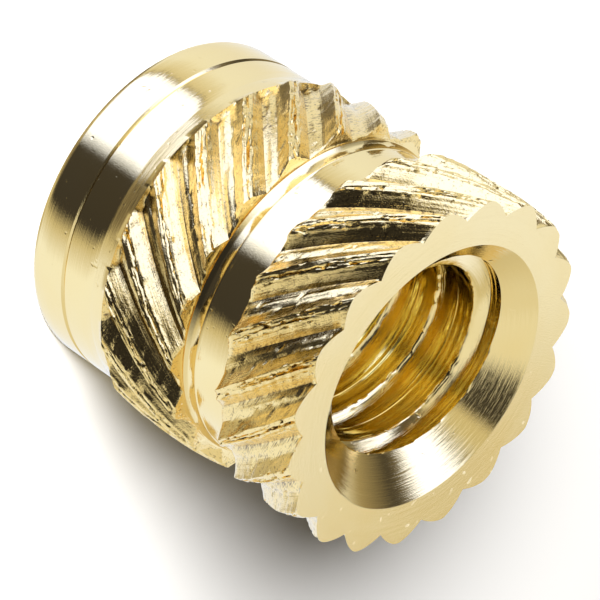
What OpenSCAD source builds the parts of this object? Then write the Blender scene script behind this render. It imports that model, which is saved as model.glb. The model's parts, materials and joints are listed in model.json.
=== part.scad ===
// Heat-set threaded insert for plastic parts.
// One turned brass piece with two bands of helical knurl cut at opposite hands,
// a neck between them, a plain pilot and a countersunk screw hole.
// It stands on its pilot end, with its axis along +Z. Lengths are in mm.

/* [Overall] */
// across the crests of the knurl
knurl_d = 4.8; // [4:0.1:6.5]
// how far the plain pilot lies inside the crests, on the radius
pilot_step = 0.17; // [0.12:0.01:0.4]

/* [Lengths along the axis] */
// plain pilot, from the end that enters the hole first
pilot_len = 1.07; // [0.88:0.01:2]
// slight rise between the pilot and the rear knurl
lead_len = 0.28; // [0.1:0.01:0.6]
// rear knurled band
rear_band_len = 1.35; // [0.8:0.01:3]
// smooth neck between the two bands
neck_len = 0.72; // [0.3:0.01:1.5]
// front knurled band, up to the front face
front_band_len = 1.38; // [0.8:0.01:3]

/* [Knurl] */
// teeth around each band
teeth = 19; // [15:1:24]
// depth of a tooth, crest to root
tooth_depth = 0.21; // [0.1:0.01:0.26]
// shape of a tooth flank: 1 is a plain V, higher is rounder at the crest
flank_power = 1.5; // [1:0.1:2.5]
// helix angle of the front band, from the axis
front_helix = 42; // [20:1:53]
// helix angle of the rear band, the other way
rear_helix = 44; // [20:1:53]
// turn of the front band's teeth about the axis, at the front face
front_phase = 2.4; // [0:0.1:18]
// turn of the rear band's teeth about the axis, at the neck
rear_phase = 16.9; // [0:0.1:18]

/* [Neck and pilot details] */
// how far the neck lies below the roots of the teeth
neck_drop = 0.06; // [0.02:0.01:0.15]
// bevel where the neck meets the rear band
neck_bevel = 0.04; // [0.02:0.01:0.06]
// growth in radius along the lead
lead_rise = 0.06; // [0.01:0.01:0.1]
// length over which each valley runs out behind the lead
run_out = 0.1; // [0.04:0.01:0.3]
// height of the fine groove above the pilot end
groove_height = 0.57; // [0.3:0.01:0.75]
// width of the fine groove
groove_w = 0.08; // [0.04:0.01:0.14]
// depth of the fine groove
groove_depth = 0.04; // [0.02:0.01:0.07]
// bevel of the pilot edge, across the end face
edge_w = 0.025; // [0.01:0.005:0.06]
// bevel of the pilot edge, up the side
edge_h = 0.07; // [0.03:0.01:0.15]

/* [Screw hole] */
// crest diameter of the screw thread, number 4 with 40 turns to the inch
thread_minor_d = 2.26; // [1.8:0.01:2.75]
// flat ring around the countersink, out to the crests
rim_w = 0.6; // [0.4:0.01:0.8]
// included angle of the countersink
countersink_angle = 100; // [82:1:120]
// chamfer of the hole at the pilot end
hole_chamfer = 0.3; // [0.1:0.01:0.5]

/* [Hidden] */
crest_r = knurl_d / 2;
root_r = crest_r - tooth_depth;
neck_r = root_r - neck_drop;
pilot_r = crest_r - pilot_step;
lead_r = pilot_r + lead_rise;
hole_r = thread_minor_d / 2;
countersink_r = crest_r - rim_w;
countersink_depth = (countersink_r - hole_r) / tan(countersink_angle / 2);

lead_z = pilot_len;
rear_band_z = lead_z + lead_len;
neck_z = rear_band_z + rear_band_len;
front_band_z = neck_z + neck_len;
total_len = front_band_z + front_band_len;

// the core runs this share of the way into the front band
core_bury = 0.5;
// straight steps around one tooth, and along one band
tooth_steps = 8;
band_slices = 8;
// overshoot of the cutting tools
cut = 0.2;

brass = [0.80, 0.66, 0.36];

// height of a tooth as a share of its depth, u running 0 to 1 from root to root
function tooth_share(u) = 1 - pow(abs(2 * u - 1), flank_power);

// turn of a band, in degrees, for its helix angle
function band_turn(helix, length) = tan(helix) * length / crest_r * 180 / PI;

// outline of a toothed band, square to the axis
module tooth_outline(phase) {
    polygon([
        for (i = [0 : teeth * tooth_steps - 1])
            let (
                a = phase + i * 360 / (teeth * tooth_steps),
                u = (i % tooth_steps) / tooth_steps,
                r = root_r + tooth_depth * tooth_share(u)
            )
            [r * cos(a), r * sin(a)]
    ]);
}

// a band of helical teeth standing on z = 0, turn in degrees from bottom to top
module knurl_band(length, phase, turn) {
    linear_extrude(height = length, twist = -turn, slices = band_slices)
        tooth_outline(phase);
}

// plain turned body: pilot, groove, lead and neck, solid through both bands
module core() {
    core_top = front_band_z + front_band_len * core_bury;
    rotate_extrude($fn = 128)
        polygon([
            [0, 0],
            [pilot_r - edge_w, 0],
            [pilot_r, edge_h],
            [pilot_r, groove_height - groove_w / 2],
            [pilot_r - groove_depth, groove_height],
            [pilot_r, groove_height + groove_w / 2],
            [pilot_r, lead_z],
            [lead_r, rear_band_z],
            [neck_r, rear_band_z + run_out],
            [neck_r, neck_z - neck_bevel],
            [neck_r + neck_bevel, neck_z],
            [neck_r, neck_z + neck_bevel],
            [neck_r, core_top],
            [0, core_top]
        ]);
}

// countersunk through hole
module screw_hole() {
    translate([0, 0, -cut])
        cylinder(h = total_len + 2 * cut, r = hole_r, $fn = 96);
    // countersink, carried past the front face at the same angle
    translate([0, 0, total_len - countersink_depth])
        cylinder(
            h = countersink_depth + cut,
            r1 = hole_r,
            r2 = countersink_r + cut * tan(countersink_angle / 2),
            $fn = 96);
    // chamfer at the pilot end
    translate([0, 0, -cut])
        cylinder(
            h = hole_chamfer + cut,
            r1 = hole_r + hole_chamfer + cut,
            r2 = hole_r,
            $fn = 96);
}

module threaded_insert() {
    rear_turn = band_turn(rear_helix, rear_band_len);
    front_turn = -band_turn(front_helix, front_band_len);
    color(brass)
        difference() {
            union() {
                core();
                translate([0, 0, rear_band_z])
                    knurl_band(rear_band_len, rear_phase - rear_turn, rear_turn);
                translate([0, 0, front_band_z])
                    knurl_band(front_band_len, front_phase - front_turn, front_turn);
            }
            screw_hole();
        }
}

threaded_insert();
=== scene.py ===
import json
import math

import bpy
import numpy as np
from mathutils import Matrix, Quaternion, Vector


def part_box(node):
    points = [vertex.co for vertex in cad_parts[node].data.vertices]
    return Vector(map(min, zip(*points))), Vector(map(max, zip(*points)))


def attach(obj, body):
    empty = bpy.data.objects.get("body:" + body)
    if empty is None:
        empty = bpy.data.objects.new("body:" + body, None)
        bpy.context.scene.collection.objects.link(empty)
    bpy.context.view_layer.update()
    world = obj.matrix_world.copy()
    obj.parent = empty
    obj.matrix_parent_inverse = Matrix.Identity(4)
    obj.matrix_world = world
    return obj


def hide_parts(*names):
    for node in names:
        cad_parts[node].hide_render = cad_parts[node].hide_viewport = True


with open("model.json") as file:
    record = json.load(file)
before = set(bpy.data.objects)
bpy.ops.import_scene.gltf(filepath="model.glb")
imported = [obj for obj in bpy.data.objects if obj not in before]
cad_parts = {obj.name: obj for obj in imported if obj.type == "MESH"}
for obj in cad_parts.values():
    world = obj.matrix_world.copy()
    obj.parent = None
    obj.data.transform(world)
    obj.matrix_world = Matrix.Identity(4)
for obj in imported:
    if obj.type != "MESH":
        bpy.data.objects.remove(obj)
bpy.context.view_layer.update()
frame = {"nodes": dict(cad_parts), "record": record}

MM = 0.001
NODE = "threaded_insert"
record = frame["record"]
mounts = {m["name"]: m for m in record["mounts"]}
cad_points = np.array([v.co[:] for v in frame["nodes"][NODE].data.vertices])

# ---------------------------------------------------------------- sizes
total_len = (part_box(NODE)[1].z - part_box(NODE)[0].z) / MM
crest_r = np.hypot(cad_points[:, 0], cad_points[:, 1]).max() / MM
pilot_r = mounts["pilot"]["dims"]["r_mm"]
thread_minor_r = mounts["thread"]["dims"]["r_mm"]

tooth_depth = 0.21
root_r = crest_r - tooth_depth
neck_r = root_r - 0.06
lead_r = pilot_r + 0.06
pilot_top = 1.07
lead_top = 1.35
rear_top = 2.70
front_low = 3.42
groove_z = 0.57
groove_half = 0.035
groove_depth = 0.035
edge_w = 0.025
edge_h = 0.07
ridge_z = 2.87

teeth = 19
cols_per_tooth = 32
columns = teeth * cols_per_tooth
pitch_deg = 360.0 / teeth
pitch_mm = 2 * math.pi * crest_r / teeth
front_helix = 42.0
rear_helix = 44.0
front_phase = 2.4
rear_phase = 16.9
band_rows = 60

rim_w = 0.6
countersink_angle = 100.0
countersink_r = crest_r - rim_w
thread_pitch = 0.635
thread_major_r = 1.43
flank_top = 4.36
hole_chamfer = 0.3
bore_columns = 240
run_out_r = 0.13
crest_top_r = 1.275
crest_low_r = 1.265
end_round = 0.13
rows_per_pitch = 45


# ---------------------------------------------------------------- seeded noise
def lattice_noise(a, b, layer, size_a, size_b, seed):
    """Smooth noise in -1..1 on (a, b), one independent sheet for each whole number in layer."""
    ia, ib = a / size_a, b / size_b
    ja, jb = np.floor(ia).astype(int), np.floor(ib).astype(int)
    fa, fb = ia - ja, ib - jb
    fa, fb = fa * fa * (3 - 2 * fa), fb * fb * (3 - 2 * fb)
    la = ja - ja.min()
    lb = jb - jb.min()
    grid = np.random.default_rng(seed).uniform(-1, 1, (int(layer.max()) + 1, la.max() + 2, lb.max() + 2))

    def at(da, db):
        return grid[layer, la + da, lb + db]

    return (at(0, 0) * (1 - fa) + at(1, 0) * fa) * (1 - fb) + (at(0, 1) * (1 - fa) + at(1, 1) * fa) * fb


def step(x, lo, hi):
    t = np.clip((x - lo) / (hi - lo), 0, 1)
    return t * t * (3 - 2 * t)


# ---------------------------------------------------------------- knurl
def tooth_height(v, s, tooth, seed, rough):
    """Height of the knurl above its roots, in mm. v runs 0 to 1 across one tooth, from the root
    on its upper flank; s is the distance along the tooth in mm. The crest is torn: a lip on each
    side, with land, cracks and a seam between."""
    w = v * pitch_mm
    flat = w * 0
    foot_h = 0.18

    def along(size, k):
        return lattice_noise(s, flat, tooth, size, 1, seed + k)

    def over(size_w, size_s, k):
        return lattice_noise(w, s, tooth, size_w, size_s, seed + k)

    lip = 0.25 + 0.018 * along(0.08, 0) + 0.016 * along(0.3, 1)
    peak = 0.49 + 0.012 * along(0.10, 2) + 0.020 * along(0.5, 3)
    lip_h = 0.62 + 0.06 * along(0.22, 4)
    tall = 0.975 + 0.025 * along(0.45, 5)
    # steep lower flank, then a shallower strip that ends just past the root
    root = 0.05
    foot = 0.765 + 0.012 * along(0.12, 20) + 0.012 * along(0.4, 21)
    t = np.clip((v - lip) / (peak - lip), 0, 1)
    up = lip_h * np.clip((v - root) / (lip - root), 0, 1) ** 0.93
    up = up + foot_h * np.clip(root - v, 0, 1) / (1 + root - foot)
    land = lip_h + (tall - lip_h) * t ** 0.5
    d = np.clip((v - peak) / (foot - peak), 0, 1)
    down = np.where(v < foot, tall - (tall - foot_h) * d ** 0.8, foot_h * (1 + root - v) / (1 + root - foot))
    h = np.where(v < lip, up, np.where(v < peak, land, down))
    f = np.clip((v - foot) / (1 - foot), 0, 1)
    h = h + (0.07 + 0.04 * along(0.3, 22)) * np.sin(math.pi * f) - 0.035 * np.exp(-((v - foot) / 0.012) ** 2)
    torn = step(v, lip - 0.02, lip + 0.02) * (1 - step(v, peak - 0.01, peak + 0.03))
    # seam between the lips, and a second fine crack
    seam = 0.355 + 0.022 * along(0.12, 6) + 0.025 * along(0.6, 7)
    gape = step(along(0.35, 8), -0.7, 0.5)
    h = h - (0.05 + 0.22 * gape) * np.clip(1 - np.abs(v - seam) / (0.016 + 0.012 * gape), 0, 1)
    crack = 0.425 + 0.015 * along(0.1, 9) + 0.03 * along(0.7, 16)
    h = h - 0.13 * step(along(0.3, 17), -0.2, 0.5) * np.clip(1 - np.abs(v - crack) / 0.017, 0, 1)
    # metal drawn out along the tooth
    h = h + torn * (0.012 * over(0.022, 0.25, 10) + 0.022 * over(0.055, 0.40, 11)
                    + 0.010 * rough * over(0.03, 0.045, 18))
    # pits where scraps have come away
    pits = step(over(0.05, 0.085, 12), 0.60, 0.80)
    h = h - torn * pits * 0.20 * rough
    # drag marks along the lower flank
    low = step(v, peak + 0.02, peak + 0.08) * (1 - step(v, 0.94, 1.0))
    h = h + low * (0.020 * over(0.07, 0.55, 13) + rough * (0.012 * over(0.05, 0.11, 14)
                   - 0.10 * step(over(0.06, 0.10, 19), 0.62, 0.85)))
    # crumbs that stand on the upper lip
    crumbs = step(over(0.04, 0.05, 15), 0.40, 0.75)
    h = h + crumbs * np.clip(1 - np.abs(v - lip - 0.01) / 0.03, 0, 1) * 0.07
    return tooth_depth * np.clip(h, -0.05, 1.02)


# columns crowd together on the torn land, which is on opposite sides of the tooth in the two bands
upper_steps = np.concatenate([np.linspace(0, 0.21, 5)[:-1], np.linspace(0.21, 0.53, 20)[:-1],
                              np.linspace(0.53, 1, 10)[:-1]])
rear_u = upper_steps
front_u = np.concatenate([[0.0], 1 - upper_steps[:0:-1]])
index = np.arange(columns)
tooth_no = index // cols_per_tooth
front_share = front_u[index % cols_per_tooth]
rear_share = rear_u[index % cols_per_tooth]
front_deg = (tooth_no + front_share) * pitch_deg
rear_deg = (tooth_no + rear_share) * pitch_deg


def band_radius(z, z_top, share, upper_is_high_u, helix, seed, rough):
    v = 1 - share if upper_is_high_u else share
    v = np.where(v >= 1, 0.0, v)
    s = (z_top - z) / math.cos(math.radians(helix))
    full = np.broadcast_to(v, (len(z), columns)).copy()
    run = np.broadcast_to(s[:, None], (len(z), columns)).copy()
    lay = np.broadcast_to(tooth_no, (len(z), columns))
    return root_r + tooth_height(full, run, lay, seed, rough)


front_turn = math.degrees(math.tan(math.radians(front_helix)) * (total_len - front_low) / crest_r)
rear_turn = math.degrees(math.tan(math.radians(rear_helix)) * (rear_top - lead_top) / crest_r)
turn_at_neck = rear_phase + pitch_deg

front_z = np.linspace(total_len, front_low, band_rows)
rear_z = np.linspace(rear_top, lead_top, band_rows)
front_rad = band_radius(front_z, total_len, front_share, True, front_helix, 100, 1.0)
rear_rad = band_radius(rear_z, rear_top, rear_share, False, rear_helix, 300, 0.5)

# the front face was cut after the knurl, so its teeth are clean there, with tips of uneven height
face_share = np.exp(-((total_len - front_z) / 0.03) ** 2)[:, None]
tip = 1 - 0.05 * np.abs(np.random.default_rng(7).normal(0, 1, teeth))[tooth_no]
clean = root_r + tooth_depth * np.minimum(1 - np.abs(2 * front_share - 1) ** 1.5, tip)
front_rad = front_rad * (1 - face_share) + clean * face_share
# small break on the front face's edge, ragged rear edge of the front band
front_rad[0] -= 0.006
front_end = front_low + end_round * (1 + 0.35 * lattice_noise(
    np.broadcast_to(front_share * pitch_mm, front_rad.shape).copy(), np.zeros(front_rad.shape),
    np.broadcast_to(tooth_no, front_rad.shape), 0.07, 1, 41))
inward = np.clip((front_end - front_z[:, None]) / (front_end - front_low), 0, 1)
front_rad = root_r + (front_rad - root_r) * (0.25 + 0.75 * np.sqrt(1 - inward ** 2))
# the rear band starts at a flat shoulder and runs out on the lead
rear_head = step(rear_z - (rear_top - 0.03), 0, 0.03)[:, None]
rear_rad = rear_rad - rear_head * 0.012
chamfer = lead_r + 0.004 + (rear_z - lead_top)[:, None] * 1.0
rise = lead_r - (rear_z - lead_top)[:, None] * 2.2
rear_rad = np.maximum(np.minimum(rear_rad, chamfer), rise)

# (z, turn in degrees, radius per column, 0 for the front band's column spacing to 1 for the rear's)
rows = []
for z, r in zip(front_z, front_rad):
    rows.append((z, front_phase + front_turn * (total_len - z) / (total_len - front_low), r, 0))
low_turn = front_phase + front_turn
ones = np.ones(columns)
rows.append((front_low, low_turn, neck_r * ones, 0))
neck_rows = [3.36, 3.2, 3.05, 2.95, 2.90, ridge_z + 0.018]
for z in neck_rows:
    t = low_turn + (turn_at_neck - low_turn) * (front_low - z) / (front_low - rear_top)
    rows.append((z, t, neck_r * ones, (front_low - z) / (front_low - ridge_z - 0.018)))
for z, r in [(ridge_z, neck_r + 0.007), (ridge_z - 0.014, neck_r), (2.775, neck_r + 0.002),
             (2.745, neck_r + 0.012), (rear_top + 0.002, neck_r + 0.035)]:
    rows.append((z, turn_at_neck, r * ones, 1))
for z, r in zip(rear_z, rear_rad):
    rows.append((z, turn_at_neck - rear_turn * (rear_top - z) / (rear_top - lead_top), r, 1))
end_turn = turn_at_neck - rear_turn
for z, r in [
    (1.26, pilot_r + 0.042), (1.16, pilot_r + 0.020), (1.10, pilot_r + 0.007), (pilot_top, pilot_r),
    (0.95, pilot_r), (0.80, pilot_r), (0.68, pilot_r), (groove_z + groove_half, pilot_r),
    (groove_z + 0.008, pilot_r - groove_depth), (groove_z - 0.008, pilot_r - groove_depth),
    (groove_z - groove_half, pilot_r), (0.42, pilot_r), (0.25, pilot_r), (edge_h + 0.004, pilot_r),
    (edge_h * 0.5, pilot_r - 0.009), (0.0, pilot_r - edge_w),
]:
    rows.append((z, end_turn, r * ones, 1))


def ring(z, turn, r, blend=None, count=columns):
    """Points at one height; blend mixes the two bands' column spacing, None is even spacing."""
    deg = np.arange(count) * 360.0 / count if blend is None else front_deg * (1 - blend) + rear_deg * blend
    a = np.radians(deg + turn)
    return np.stack([r * np.cos(a), r * np.sin(a), np.full(count, z)], 1)


def quads(first, second, count):
    k = np.arange(count)
    n = (k + 1) % count
    return np.stack([first + k, second + k, second + n, first + n], 1).tolist()


def zip_rings(va, a0, vb, b0):
    """Faces between two flat rings with different numbers of points, both by rising angle."""
    aa = np.degrees(np.arctan2(va[:, 1], va[:, 0])) % 360
    ab = np.degrees(np.arctan2(vb[:, 1], vb[:, 0])) % 360
    oa, ob = np.argsort(aa), np.argsort(ab)
    na, nb = len(oa), len(ob)
    ang_a, ang_b = np.append(aa[oa], aa[oa[0]] + 360), np.append(ab[ob], ab[ob[0]] + 360)
    i = j = 0
    faces = []
    while i < na or j < nb:
        if j >= nb or (i < na and ang_a[i + 1] <= ang_b[j + 1]):
            faces.append([a0 + oa[i % na], a0 + oa[(i + 1) % na], b0 + ob[j % nb]])
            i += 1
        else:
            faces.append([a0 + oa[i % na], b0 + ob[(j + 1) % nb], b0 + ob[j % nb]])
            j += 1
    return faces


def make_piece(name, verts, faces, sharp_deg):
    me = bpy.data.meshes.new(name)
    me.from_pydata((np.asarray(verts) * MM).tolist(), [], [list(map(int, f)) for f in faces])
    me.validate()
    me.shade_smooth()
    me.set_sharp_from_angle(angle=math.radians(sharp_deg))
    ob = bpy.data.objects.new(name, me)
    bpy.context.scene.collection.objects.link(ob)
    return ob


# ---------------------------------------------------------------- outside piece
verts = [ring(z, t, r, b) for z, t, r, b in rows]
faces = []
for k in range(len(rows) - 1):
    faces += quads(k * columns, (k + 1) * columns, columns)
count = len(rows) * columns

edge_top = ring(total_len, 0, countersink_r, count=bore_columns)
mid_top = ring(total_len, front_phase, root_r - 0.10, 0)
verts.append(mid_top)
faces += quads(count, 0, columns)
mid0 = count
count += columns
verts.append(edge_top)
faces += [f[::-1] for f in zip_rings(edge_top, count, mid_top, mid0)]
count += bore_columns

low_edge_r = thread_minor_r + hole_chamfer
last = (len(rows) - 1) * columns
low_mid = ring(0.0, end_turn, low_edge_r + 0.25, 1)
verts.append(low_mid)
faces += quads(last, count, columns)
low0 = count
count += columns
edge_low = ring(0.0, 0, low_edge_r, count=bore_columns)
verts.append(edge_low)
faces += zip_rings(edge_low, count, low_mid, low0)
outside = make_piece("insert_outside", np.concatenate(verts), faces, 40)

# ---------------------------------------------------------------- bore piece
tan_sink = math.tan(math.radians(countersink_angle / 2))
# one turn of the thread, going down from the top of a flank: (rows, radius in mm)
row_step = thread_pitch / rows_per_pitch
thread_turn = [(0, thread_major_r), (6, crest_top_r + 0.02), (8, crest_top_r), (25, crest_low_r),
               (27, crest_low_r + 0.02), (32, thread_major_r), (rows_per_pitch, thread_major_r)]


def thread_drop(z, az):
    """Distance down from the top of the flank above, along the axis."""
    return (flank_top - z + thread_pitch * az / 360.0) % thread_pitch


def thread_radius(z, az):
    """Right-hand thread whose first groove widens as it runs out onto the countersink."""
    rows, radii = zip(*thread_turn)
    turn = (az + 180) % 360 - 180
    above = z - flank_top - thread_pitch * turn / 360.0
    wide = run_out_r * np.clip((turn + 45) / 60, 0, 1) * step(above, -0.085, 0.0)
    return np.interp(thread_drop(z, az) / row_step, rows, radii) + wide


az = np.arange(bore_columns + 1) * 360.0 / bore_columns
n_rows = int(math.ceil((total_len / thread_pitch + 1.0) * rows_per_pitch)) + 3
top_row = flank_top + math.ceil((total_len - flank_top) / row_step + 1) * row_step
zrow = top_row - np.arange(n_rows) * row_step
Z = zrow[:, None] + thread_pitch * az[None, :] / 360.0
over = Z > total_len
under = Z < 0
Z = np.clip(Z, 0, total_len)
A = np.broadcast_to(az, Z.shape)
thread = thread_radius(Z, A)
# tool marks that run with the thread, and round the countersink
lead = Z - thread_pitch * A / 360.0
arc = np.radians(A) * 1.2
flat = np.zeros(Z.shape, int)
drop = thread_drop(Z, A)
on_flank = step(drop, 0.11, 0.08)
streak = lattice_noise(lead, arc, flat, 0.07, 2.6, 61) + 0.7 * lattice_noise(lead, arc, flat, 0.032, 1.3, 62)
thread = thread + streak * (0.0075 - 0.0065 * on_flank)
lip = np.exp(-((drop - 0.10) / 0.022) ** 2)
torn = step(lattice_noise(arc, lead, flat, 0.10, 0.3, 63), -0.1, 0.6)
thread = thread - lip * (0.014 * torn + 0.006 * lattice_noise(arc, lead, flat, 0.03, 0.3, 64))
cone = countersink_r - (total_len - Z) * tan_sink
low_cone = low_edge_r - Z
Rr = np.maximum(np.maximum(thread, cone), low_cone)
Rr = np.where(over, countersink_r, Rr)
Rr = np.where(under, low_edge_r, Rr)
points = np.stack([Rr * np.cos(np.radians(A)), Rr * np.sin(np.radians(A)), Z], 2)

ids = {}
bore_verts = []


def vid(j, i):
    p = points[j, i]
    key = (round(float(p[0]), 5), round(float(p[1]), 5), round(float(p[2]), 5))
    if key not in ids:
        ids[key] = len(bore_verts)
        bore_verts.append(p)
    return ids[key]


grid = np.array([[vid(j, i) for i in range(bore_columns + 1)] for j in range(n_rows)])
# walls that look across the hole, apart from the flanks and the countersink; these get the painted shade of
# the hole
painted_shade_walls = (drop > 0.12) & (thread > cone) & (thread > low_cone)
bore_faces = []
painted_shade_slots = []
for j in range(n_rows - 1):
    for i in range(bore_columns):
        f = [grid[j, i], grid[j, i + 1], grid[j + 1, i + 1], grid[j + 1, i]]
        f = [v for k, v in enumerate(f) if v != f[k - 1]]
        if len(f) >= 3 and len(set(f)) == len(f):
            bore_faces.append(f)
            painted_shade_slots.append(int(painted_shade_walls[j, i] and painted_shade_walls[j + 1, i + 1]))
bore = make_piece("insert_bore", bore_verts, bore_faces, 28)


# ---------------------------------------------------------------- brass
def node_math(tree, op, a, b=None):
    """A Math node in the tree, fed by numbers or by other nodes' outputs."""
    n = tree.nodes.new("ShaderNodeMath")
    n.operation = op
    for k, v in enumerate((a, b)):
        if v is None:
            continue
        if isinstance(v, (int, float)):
            n.inputs[k].default_value = v
        else:
            tree.links.new(v, n.inputs[k])
    return n.outputs[0]


# Pointiness at which painted shade fills a crack, and at which it is gone
CREASE_SHADE_LO, CREASE_SHADE_HI = 0.43, 0.485
# brown painted into the knurl's creases as shade, and into its dark specks
PAINTED_SHADE_BROWN = (0.19, 0.13, 0.06)
# bump heights in mm
TURNING, TURNING_ON_FACE = 0.0024, 0.0004
TURNED_GRAIN, TURNED_PIT = 0.0005, -0.003
DRAWN_LINES, DRAWN_WAVES, KNURL_GRAIN = 0.0035, 0.008, 0.0028


def brass_material(name, pale, brown):
    m = bpy.data.materials.new(name)
    m.use_nodes = True
    nt = m.node_tree
    nt.nodes.clear()
    new, link = nt.nodes.new, nt.links.new
    out = new("ShaderNodeOutputMaterial")
    bsdf = new("ShaderNodeBsdfPrincipled")
    bsdf.inputs["Metallic"].default_value = 1.0
    link(bsdf.outputs[0], out.inputs[0])
    tc = new("ShaderNodeTexCoord")
    sep = new("ShaderNodeSeparateXYZ")
    link(tc.outputs["Object"], sep.inputs[0])

    def math_node(op, a, b=None):
        return node_math(nt, op, a, b)

    def noise(vector, scale, detail=2.0, rough=0.5):
        n = new("ShaderNodeTexNoise")
        n.inputs["Scale"].default_value = scale
        n.inputs["Detail"].default_value = detail
        n.inputs["Roughness"].default_value = rough
        link(vector, n.inputs["Vector"])
        return n.outputs["Fac"]

    def spread(value, lo, hi, to_lo, to_hi):
        n = new("ShaderNodeMapRange")
        for k, v in zip(("From Min", "From Max", "To Min", "To Max"), (lo, hi, to_lo, to_hi)):
            n.inputs[k].default_value = v
        link(value, n.inputs["Value"])
        return n.outputs["Result"]

    def twisted(deg_per_mm):
        """Object coordinates turned about the axis with height, so a line along the knurl is straight."""
        n = new("ShaderNodeVectorRotate")
        n.rotation_type = "Z_AXIS"
        link(tc.outputs["Object"], n.inputs["Vector"])
        link(math_node("MULTIPLY", z, math.radians(deg_per_mm) / MM), n.inputs["Angle"])
        flat = new("ShaderNodeVectorMath")
        flat.operation = "MULTIPLY"
        flat.inputs[1].default_value = (1, 1, 0.05)
        link(n.outputs[0], flat.inputs[0])
        return flat.outputs[0]

    def choose(fac, a, b, kind="VECTOR"):
        n = new("ShaderNodeMix")
        n.data_type = kind
        link(fac, n.inputs[0])
        ka, kb = (4, 5) if kind == "VECTOR" else (2, 3)
        for k, v in ((ka, a), (kb, b)):
            if isinstance(v, (int, float)):
                n.inputs[k].default_value = v
            else:
                link(v, n.inputs[k])
        return n.outputs[1 if kind == "VECTOR" else 0]

    x, y, z = sep.outputs
    obj = tc.outputs["Object"]
    rad = math_node("SQRT", math_node("ADD", math_node("MULTIPLY", x, x), math_node("MULTIPLY", y, y)))
    comb = new("ShaderNodeCombineXYZ")
    link(math_node("MULTIPLY", x, 0.06), comb.inputs[0])
    link(math_node("MULTIPLY", y, 0.06), comb.inputs[1])
    link(math_node("ADD", math_node("MULTIPLY", rad, 0.9), z), comb.inputs[2])

    # where the knurl is: outside the neck's radius, between the face and the lead, off the neck
    def inside(value, lo, hi):
        return math_node("MULTIPLY", math_node("GREATER_THAN", value, lo * MM),
                         math_node("LESS_THAN", value, hi * MM))

    front_knurl = inside(z, front_low, total_len - 0.003)
    rear_knurl = inside(z, lead_top, rear_top + 0.001)
    knurl = math_node("MULTIPLY", math_node("GREATER_THAN", rad, (root_r - 0.015) * MM),
                      math_node("ADD", front_knurl, rear_knurl))
    along = choose(front_knurl, twisted(-math.degrees(math.tan(math.radians(rear_helix)) / crest_r)),
                   twisted(math.degrees(math.tan(math.radians(front_helix)) / crest_r)))
    drawn = noise(along, 26000.0, 3.0, 0.65)
    drawn_wide = noise(along, 7000.0, 2.0, 0.5)

    marks = noise(comb.outputs[0], 26000.0, 3.0, 0.65)
    marks_wide = noise(comb.outputs[0], 3500.0, 2.0, 0.5)
    grain = noise(obj, 45000.0, 2.0, 0.6)
    specks = noise(obj, 9000.0, 1.0, 0.5)
    patch = noise(obj, 900.0, 2.0, 0.5)

    # colour: clean brass, slightly browner in patches
    mix = new("ShaderNodeMix")
    mix.data_type = "RGBA"
    mix.inputs[6].default_value = (*pale, 1)
    mix.inputs[7].default_value = (*brown, 1)
    link(math_node("MAXIMUM", spread(patch, 0.35, 0.70, 0.0, 0.6), knurl), mix.inputs[0])
    # painted shade: creases on the knurl, found by pointiness, are darkened to the painted shade brown; the
    # dark specks at random on the knurl are partly the metal's own mottling, partly painted shade of tiny
    # pits
    geometry = new("ShaderNodeNewGeometry")
    painted_crease_shade = spread(geometry.outputs["Pointiness"], CREASE_SHADE_LO, CREASE_SHADE_HI, 1.0, 0.0)
    mottle_and_painted_pit_shade = math_node("MULTIPLY", spread(noise(obj, 24000.0, 2.0, 0.7), 0.56, 0.74, 0.0, 0.8), knurl)
    painted_shade_mix = new("ShaderNodeMix")
    painted_shade_mix.data_type = "RGBA"
    link(mix.outputs[2], painted_shade_mix.inputs[6])
    painted_shade_mix.inputs[7].default_value = (*PAINTED_SHADE_BROWN, 1)
    link(math_node("MAXIMUM", math_node("MULTIPLY", painted_crease_shade, knurl), mottle_and_painted_pit_shade), painted_shade_mix.inputs[0])
    link(painted_shade_mix.outputs[2], bsdf.inputs["Base Color"])
    turned_gloss = spread(marks_wide, 0.3, 0.7, 0.05, 0.11)
    knurl_gloss = spread(drawn_wide, 0.3, 0.7, 0.06, 0.15)
    link(choose(knurl, turned_gloss, knurl_gloss, "FLOAT"), bsdf.inputs["Roughness"])

    # heights in mm: turning marks, fine grain, small pits; on the knurl, marks drawn along the teeth
    face = math_node("GREATER_THAN", z, (total_len - 0.003) * MM)
    turned = math_node("ADD", math_node("MULTIPLY", marks, choose(face, TURNING, TURNING_ON_FACE, "FLOAT")),
                       math_node("MULTIPLY", grain, TURNED_GRAIN))
    pits = spread(specks, 0.72, 0.82, 0.0, 1.0)
    turned = math_node("ADD", turned, math_node("MULTIPLY", pits, TURNED_PIT))
    cut_metal = math_node("ADD", math_node("MULTIPLY", drawn, DRAWN_LINES),
                          math_node("MULTIPLY", grain, KNURL_GRAIN))
    cut_metal = math_node("ADD", cut_metal, math_node("MULTIPLY", drawn_wide, DRAWN_WAVES))
    bump = new("ShaderNodeBump")
    bump.inputs["Strength"].default_value = 1.0
    bump.inputs["Distance"].default_value = MM
    link(choose(knurl, turned, cut_metal, "FLOAT"), bump.inputs["Height"])
    link(bump.outputs[0], bsdf.inputs["Normal"])
    return m


brass = brass_material("turned_brass", (0.935, 0.750, 0.370), (0.930, 0.710, 0.300))
# the walls inside the hole are the same metal, painted yellower and darker to match the photo: painted shade
# and light bounced between the walls
bore_brass_painted_shade = brass_material("bore_brass_painted_shade", (0.860, 0.690, 0.230), (0.830, 0.650, 0.180))
for piece in (outside, bore):
    piece.data.materials.append(brass)
    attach(piece, "root")
# painted shade: the walls that look across the hole take the darker, yellower copy of the brass
bore.data.materials.append(bore_brass_painted_shade)
bore.data.polygons.foreach_set("material_index", painted_shade_slots)
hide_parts(NODE)

# ---------------------------------------------------------------- floor
FLOOR_HALF_M = 0.6
FLOOR_COLOUR = (0.90, 0.89, 0.87)
FLOOR_GLOW = 0.02


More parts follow.
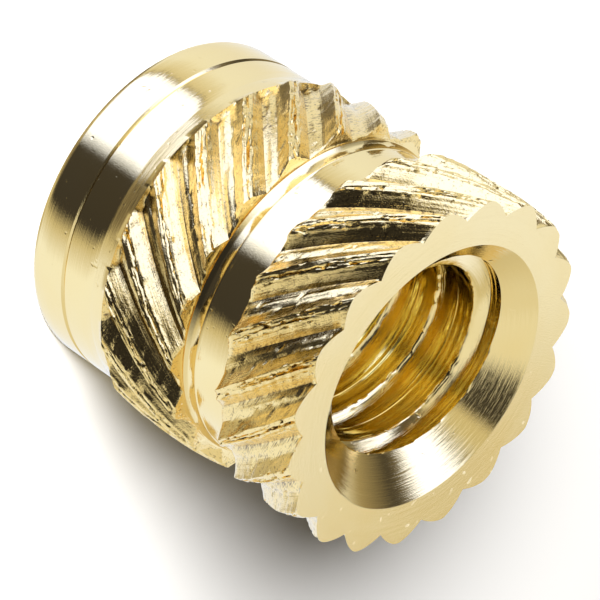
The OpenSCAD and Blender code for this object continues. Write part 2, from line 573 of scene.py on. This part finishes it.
def make_floor():
    """Pale paper that the metal doesn't mirror. The camera alone sees a faint glow on it."""
    z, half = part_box(NODE)[0].z, FLOOR_HALF_M
    mesh = bpy.data.meshes.new("floor")
    mesh.from_pydata([(-half, -half, z), (half, -half, z), (half, half, z), (-half, half, z)],
                     [], [(0, 1, 2, 3)])
    floor = bpy.data.objects.new("floor", mesh)
    bpy.context.scene.collection.objects.link(floor)
    floor.visible_glossy = False
    paper = bpy.data.materials.new("floor_paper")
    paper.use_nodes = True
    tree = paper.node_tree
    tree.nodes.clear()
    new, link = tree.nodes.new, tree.links.new
    out = new("ShaderNodeOutputMaterial")
    diffuse = new("ShaderNodeBsdfDiffuse")
    diffuse.inputs["Color"].default_value = (*FLOOR_COLOUR, 1)
    glow = new("ShaderNodeEmission")
    glow.inputs["Color"].default_value = (1, 1, 1, 1)
    path = new("ShaderNodeLightPath")
    strength = new("ShaderNodeMath")
    strength.operation = "MULTIPLY"
    strength.inputs[1].default_value = FLOOR_GLOW
    link(path.outputs["Is Camera Ray"], strength.inputs[0])
    link(strength.outputs[0], glow.inputs["Strength"])
    both = new("ShaderNodeAddShader")
    link(diffuse.outputs[0], both.inputs[0])
    link(glow.outputs[0], both.inputs[1])
    link(both.outputs[0], out.inputs[0])
    mesh.materials.append(paper)
    return floor


floor = make_floor()


def direction(az_deg, el_deg):
    """Unit vector at an azimuth and an elevation."""
    a, e = math.radians(az_deg), math.radians(el_deg)
    return Vector((math.cos(a) * math.cos(e), math.sin(a) * math.cos(e), math.sin(e)))


# ---------------------------------------------------------------- key lamp, hidden from reflections
KEY_AZ, KEY_EL = 82.5, 33
KEY_DISTANCE_M = 0.16
KEY_SIZE_M = 0.052
KEY_ENERGY = 0.62


def make_key():
    lamp = bpy.data.lights.new("key", "AREA")
    lamp.shape = "DISK"
    lamp.size = KEY_SIZE_M
    lamp.energy = KEY_ENERGY
    key = bpy.data.objects.new("key", lamp)
    toward = direction(KEY_AZ, KEY_EL)
    key.location = toward * KEY_DISTANCE_M
    key.rotation_euler = toward.to_track_quat("Z", "Y").to_euler()
    key.visible_glossy = False
    bpy.context.scene.collection.objects.link(key)


make_key()

# ---------------------------------------------------------------- studio, as the metal sees it
# Brightness by direction round the insert, as (azimuth in degrees, value) in rings from low to high.
# The stops were set to light levels measured from one photo's reflections, so they suit
# the photo's camera, and other views of the studio are guesses.
SOFTBOX = 1.5
SIDE_LOW = [(0, 0.95), (20, 0.75), (24, 0.27), (27, SOFTBOX), (83, SOFTBOX), (95, 0.06), (138, 0.05),
            (150, 0.66), (172, 1.0), (327, 0.9), (360, 0.95)]
SIDE_HIGH = [(0, 0.30), (8, SOFTBOX), (66, SOFTBOX), (79, 0.83), (88, 0.12), (95, 0.03), (138, 0.03),
             (165, 0.85), (217, 0.80), (244, 0.66), (262, 1.05), (296, 0.9), (313, 0.38),
             (337, 0.06), (360, 0.30)]
MID = [(0, SOFTBOX), (20, SOFTBOX), (60, 0.95), (75, 0.85), (165, 0.85), (300, 0.95), (312, 0.30),
       (322, 0.35), (340, SOFTBOX), (360, SOFTBOX)]
TOP = [(0, 0.12), (20, 0.12), (50, 0.65), (72, 0.65), (90, 0.06), (145, 0.04), (180, 0.90),
       (270, 0.90), (325, 0.12), (360, 0.12)]
ZENITH = 0.85
NADIR = [(0, 0.30), (60, 0.60), (100, 0.30), (132, 0.28), (150, 0.65), (215, 0.60), (305, 0.20),
         (335, 0.15), (360, 0.30)]
# elevations, in degrees, between which one ring gives way to the next
NADIR_BLEND = (-65, -54)
HIGH_BLEND = (-18, 8)
MID_BLEND = (38, 45)
TOP_BLEND = (58, 64)
ZENITH_BLEND = (78, 86)
# a dim spot where the flat front face mirrors it in the photo's view
SHADE_AZ, SHADE_EL = -87.8, 29.8
SHADE_OUTER, SHADE_INNER = 4.5, 0.5
SHADE_COLOUR = (0.62, 0.54, 0.32)
# what rays other than reflections and the camera's see
FILL = (0.060, 0.050, 0.036)
# a ramp holds colours up to 1, so all of them are divided by this and the strength makes it up
RAMP_TOP = 6.0
TINT_LEVELS = [0.03, 0.15, 0.35, 0.62, 0.75, 0.88, 1.0, 1.2]
TINT_GREEN = [0.97, 0.88, 0.89, 0.94, 0.96, 1.03, 1.10, 1.18]
TINT_BLUE = [1.05, 0.70, 0.62, 0.70, 0.80, 1.05, 1.34, 2.00]


def tint(v):
    """Dim light is warm and bright light cool."""
    return (v, v * float(np.interp(v, TINT_LEVELS, TINT_GREEN)),
            v * float(np.interp(v, TINT_LEVELS, TINT_BLUE)))


def scaled(colour):
    return tuple(c / RAMP_TOP for c in colour) + (1,)


def make_studio():
    world = bpy.data.worlds.new("studio")
    bpy.context.scene.world = world
    world.use_nodes = True
    tree = world.node_tree
    tree.nodes.clear()
    new, link = tree.nodes.new, tree.links.new

    def calc(op, a, b=None):
        return node_math(tree, op, a, b)

    def blend(value, limits):
        n = new("ShaderNodeMapRange")
        n.interpolation_type = "SMOOTHSTEP"
        n.inputs["From Min"].default_value, n.inputs["From Max"].default_value = limits
        link(value, n.inputs["Value"])
        return n.outputs["Result"]

    def ring_light(turn, stops):
        n = new("ShaderNodeValToRGB")
        band = n.color_ramp
        band.interpolation = "LINEAR"
        while len(band.elements) > 1:
            band.elements.remove(band.elements[-1])
        band.elements[0].position = stops[0][0] / 360.0
        band.elements[0].color = scaled(tint(stops[0][1]))
        for az_deg, v in stops[1:]:
            band.elements.new(az_deg / 360.0).color = scaled(tint(v))
        link(turn, n.inputs[0])
        return n.outputs[0]

    def mix(fac, a, b):
        n = new("ShaderNodeMix")
        n.data_type = "RGBA"
        link(fac, n.inputs[0])
        for k, v in ((6, a), (7, b)):
            if isinstance(v, tuple):
                n.inputs[k].default_value = scaled(v)
            else:
                link(v, n.inputs[k])
        return n.outputs[2]

    out = new("ShaderNodeOutputWorld")
    background = new("ShaderNodeBackground")
    link(background.outputs[0], out.inputs[0])
    look = new("ShaderNodeTexCoord").outputs["Generated"]
    sep = new("ShaderNodeSeparateXYZ")
    link(look, sep.inputs[0])
    turn = calc("DIVIDE", calc("ARCTAN2", sep.outputs[1], sep.outputs[0]), 2 * math.pi)
    turn = calc("FRACT", calc("ADD", turn, 1.0))
    height = calc("MULTIPLY", calc("ARCSINE", sep.outputs[2]), 180 / math.pi)
    light = mix(blend(height, HIGH_BLEND), ring_light(turn, SIDE_LOW), ring_light(turn, SIDE_HIGH))
    light = mix(blend(height, MID_BLEND), light, ring_light(turn, MID))
    light = mix(blend(height, TOP_BLEND), light, ring_light(turn, TOP))
    light = mix(blend(height, ZENITH_BLEND), light, tint(ZENITH))
    aim = new("ShaderNodeVectorMath")
    aim.operation = "DOT_PRODUCT"
    aim.inputs[1].default_value = direction(SHADE_AZ, SHADE_EL)
    link(look, aim.inputs[0])
    edge = (math.cos(math.radians(SHADE_OUTER)), math.cos(math.radians(SHADE_INNER)))
    light = mix(blend(aim.outputs["Value"], edge), light, SHADE_COLOUR)
    light = mix(blend(height, NADIR_BLEND), ring_light(turn, NADIR), light)
    # reflections see the rings, the camera sees white, and everything else sees the fill
    path = new("ShaderNodeLightPath")
    light = mix(path.outputs["Is Glossy Ray"], FILL, light)
    light = mix(path.outputs["Is Camera Ray"], light, (1.0, 1.0, 1.0))
    link(light, background.inputs["Color"])
    background.inputs["Strength"].default_value = RAMP_TOP


make_studio()

# ---------------------------------------------------------------- camera, at the photo's viewing angle
CAMERA_AZ, CAMERA_EL, CAMERA_ROLL = 94.1558, 34.5247, 123.798
CAMERA_AIM_MM = (-0.1063, -0.0749, 2.4974)
CAMERA_DISTANCE_MM = 60.692


def make_camera():
    data = bpy.data.cameras.new("camera")
    data.lens = 295.5
    data.sensor_width = 36.0
    data.clip_start = 0.001
    data.clip_end = 10.0
    camera = bpy.data.objects.new("camera", data)
    back = direction(CAMERA_AZ, CAMERA_EL)
    camera.location = (Vector(CAMERA_AIM_MM) + back * CAMERA_DISTANCE_MM) * MM
    camera.rotation_mode = "QUATERNION"
    roll = Quaternion((0, 0, 1), math.radians(CAMERA_ROLL))
    camera.rotation_quaternion = back.to_track_quat("Z", "Y") @ roll
    bpy.context.scene.collection.objects.link(camera)
    bpy.context.scene.camera = camera


make_camera()
bpy.context.scene.view_settings.view_transform = "Standard"
